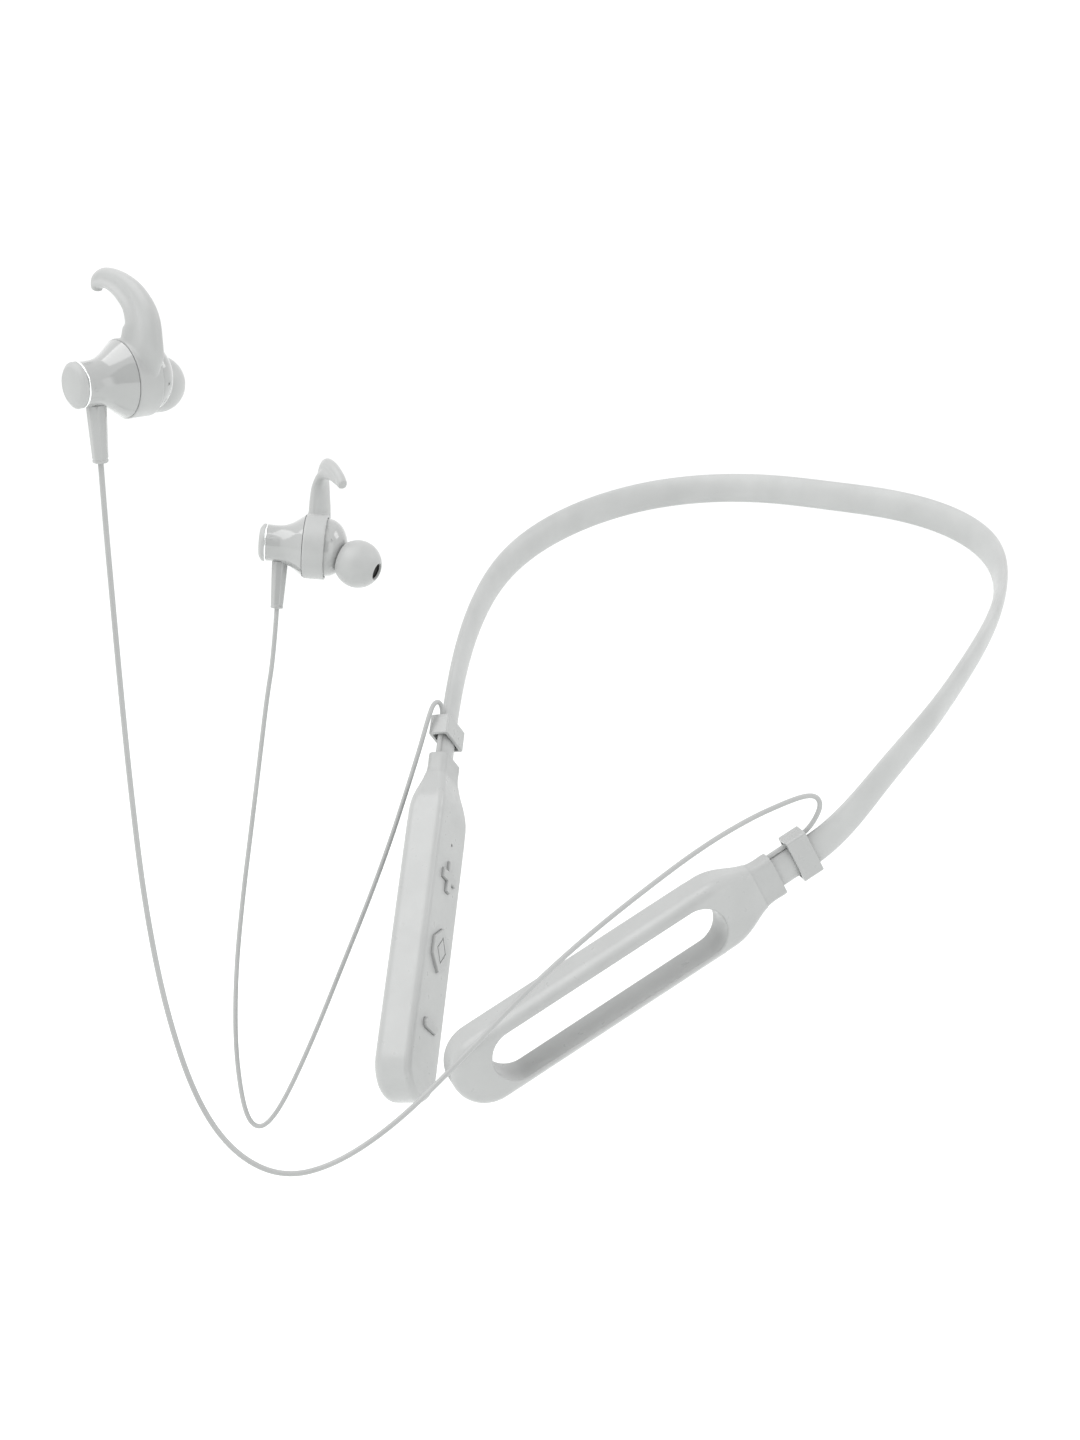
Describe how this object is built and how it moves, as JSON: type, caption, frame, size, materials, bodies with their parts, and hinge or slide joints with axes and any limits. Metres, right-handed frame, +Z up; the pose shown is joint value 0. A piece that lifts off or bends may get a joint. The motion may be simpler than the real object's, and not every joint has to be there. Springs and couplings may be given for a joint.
{
  "type": "neckband earphones",
  "caption": "Flexible neckband with a control module and a slotted module, carrying two hanging cabled earbuds with ear wings.",
  "frame": {"origin": "middle of the strip's inner face at the back of the neck, where the band rests on the wearer", "axes": "+Z up as worn, -Y the way the wearer faces, +X towards the wearer's left, where the slotted module hangs"},
  "size_m": [0.1713, 0.2523, 0.2181],
  "materials": {
    "strip_silicone": "satin",
    "spring_steel": "drawn",
    "lead_jacket": "matte",
    "shell_plastic": "soft-touch satin",
    "collar_rubber": "satin",
    "button_rubber": "matte",
    "board_laminate": "solder mask",
    "screw_steel": "machined",
    "component_metal": "plated",
    "battery_wrap": "foil pouch",
    "clip_plastic": "satin",
    "cable_jacket": "matte",
    "cap_paint": "fine matte",
    "polished_trim": "polished",
    "gloss_housing": "high gloss",
    "mesh_steel": "black woven",
    "driver_metal": "machined",
    "driver_film": "film",
    "soft_silicone": "satin"
  },
  "bodies": {
    "headset": {"memory_wire": "spring_steel", "link_lead": "lead_jacket", "neck_strip": "strip_silicone", "control_collar": "collar_rubber", "control_outer_shell": "shell_plastic", "control_inner_cover": "shell_plastic", "circuit_board": "board_laminate", "board_screws": "screw_steel", "button_switches": "component_metal", "microphone": "component_metal", "battery_cell": "battery_wrap", "charging_socket": "component_metal", "slot_collar": "collar_rubber", "slot_outer_shell": "shell_plastic", "slot_inner_cover": "shell_plastic", "junction_board": "board_laminate", "left_cable": "cable_jacket", "right_cable": "cable_jacket", "left_end_cap": "cap_paint", "left_trim_ring": "polished_trim", "left_rear_housing": "gloss_housing", "left_front_housing": "gloss_housing", "left_nozzle_mesh": "mesh_steel", "left_driver_frame": "driver_metal", "left_driver_magnet": "driver_metal", "left_driver_diaphragm": "driver_film", "left_strain_relief": "gloss_housing", "right_end_cap": "cap_paint", "right_trim_ring": "polished_trim", "right_rear_housing": "gloss_housing", "right_front_housing": "gloss_housing", "right_nozzle_mesh": "mesh_steel", "right_driver_frame": "driver_metal", "right_driver_magnet": "driver_metal", "right_driver_diaphragm": "driver_film", "right_strain_relief": "gloss_housing"},
    "volume_up": {"volume_up_button": "button_rubber"},
    "function": {"function_button": "button_rubber"},
    "volume_down": {"volume_down_button": "button_rubber"},
    "left_clip": {"left_clip": "clip_plastic"},
    "right_clip": {"right_clip": "clip_plastic"},
    "left_wing": {"left_ear_wing": "soft_silicone"},
    "right_wing": {"right_ear_wing": "soft_silicone"},
    "left_tip": {"left_ear_tip": "soft_silicone"},
    "right_tip": {"right_ear_tip": "soft_silicone"}
  },
  "joints": [
    {"name": "volume_up_press", "type": "slide", "parent": "headset", "child": "volume_up", "axis": [-0.9449, -0.2539, -0.2068], "range_m": [0, 0.0003], "stiffness_N_per_m": 800},
    {"name": "function_press", "type": "slide", "parent": "headset", "child": "function", "axis": [-0.9449, -0.2539, -0.2068], "range_m": [0, 0.0003], "stiffness_N_per_m": 800},
    {"name": "volume_down_press", "type": "slide", "parent": "headset", "child": "volume_down", "axis": [-0.9449, -0.2539, -0.2068], "range_m": [0, 0.0003], "stiffness_N_per_m": 800},
    {"name": "left_clip_slide", "type": "slide", "parent": "headset", "child": "left_clip", "axis": [-0.5409, -0.6259, -0.5619], "range_m": [0, 0.0035]},
    {"name": "right_clip_slide", "type": "slide", "parent": "headset", "child": "right_clip", "axis": [0.3151, -0.5331, -0.7852], "range_m": [0, 0.0035]},
    {"name": "left_wing_turn", "type": "hinge", "parent": "headset", "child": "left_wing", "pos_m": [-0.05511, -0.23249, 0.02699], "axis": [0.257, 0.9533, 0.1587], "range_deg": [-20, 20]},
    {"name": "left_tip_pull", "type": "slide", "parent": "headset", "child": "left_tip", "axis": [-0.3217, 0.9387, -0.1241], "range_m": [0, 0.006]},
    {"name": "right_wing_turn", "type": "hinge", "parent": "headset", "child": "right_wing", "pos_m": [-0.08566, -0.12889, -0.01914], "axis": [0.8343, 0.5513, -0.0066], "range_deg": [-20, 20]},
    {"name": "right_tip_pull", "type": "slide", "parent": "headset", "child": "right_tip", "axis": [0.9436, 0.2243, -0.2436], "range_m": [0, 0.006]}
  ]
}
